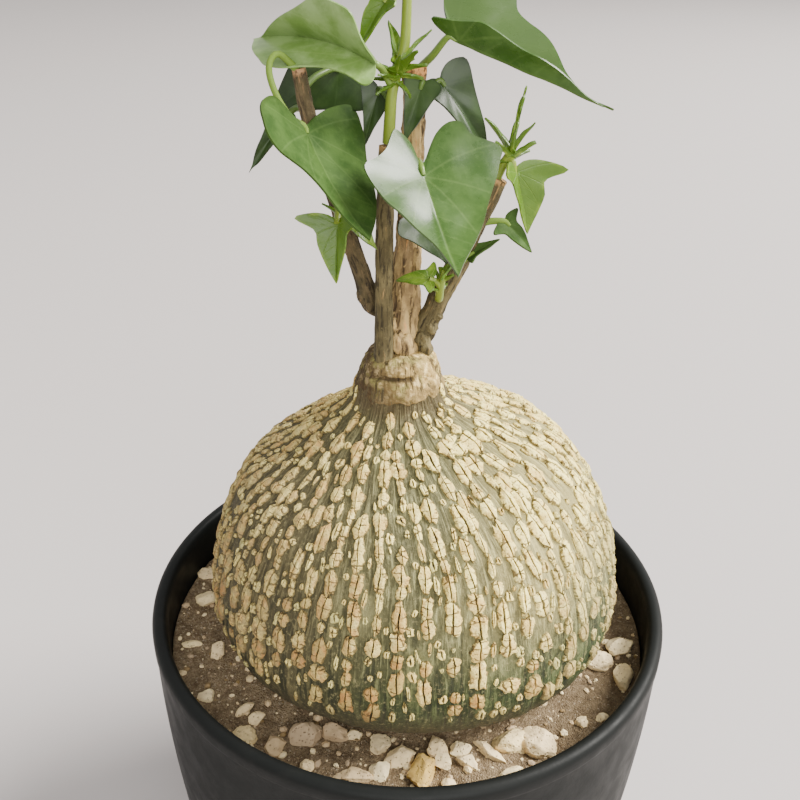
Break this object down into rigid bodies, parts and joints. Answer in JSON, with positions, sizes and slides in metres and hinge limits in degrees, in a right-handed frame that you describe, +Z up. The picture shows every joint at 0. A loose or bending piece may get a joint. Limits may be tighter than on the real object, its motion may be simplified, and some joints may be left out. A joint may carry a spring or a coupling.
{
  "type": "potted caudex plant",
  "caption": "Swollen, plaque-covered caudex on sandy soil in a round black pot, with cut woody stems, green shoots and ivy-shaped leaves above; stands on its pot's flat underside.",
  "frame": {"origin": "centre of the pot's flat underside, on the surface that it stands on", "axes": "+Z up through the pot, -Y towards the front that the picture shows, +X to the right seen from the front"},
  "size_m": [0.17, 0.17, 0.3484],
  "materials": {
    "pot_black": "satin black, a faint sheen on the lip",
    "sandy_soil": "fine taupe sand with cream and tan pumice grains",
    "caudex_cork": "cream to peach corky plaques, cracked, over dark green and sage skin",
    "old_wood": "fissured tan bark with an orange-brown sawn top",
    "olive_wood": "olive-brown bark, dotted and lined lengthwise",
    "leaf_green": "mid green, waxy sheen, paler veins",
    "leaf_dark_green": "dark green, waxy sheen",
    "young_green": "bright yellow-green young growth"
  },
  "bodies": {
    "root": {"pot": "pot_black", "soil": "sandy_soil", "caudex": "caudex_cork", "trunk": "old_wood", "front_stem": "olive_wood", "left_branch": "olive_wood", "right_branch": "olive_wood", "main_shoot": "young_green", "leaf_front": "leaf_green", "leaf_left": "leaf_green", "leaf_top_left": "leaf_green", "leaf_top_right": "leaf_green", "leaf_right_dark": "leaf_dark_green", "leaf_centre_dark": "leaf_dark_green", "leaf_behind_left": "leaf_dark_green", "leaf_behind_centre": "leaf_dark_green", "leaf_far_left": "leaf_dark_green", "leaf_behind_front": "leaf_dark_green", "leaf_low_right": "leaf_green", "leaf_olive_right": "leaf_green", "spray_low_left": "young_green", "spray_low_centre": "young_green", "spray_right": "young_green"}
  },
  "joints": []
}
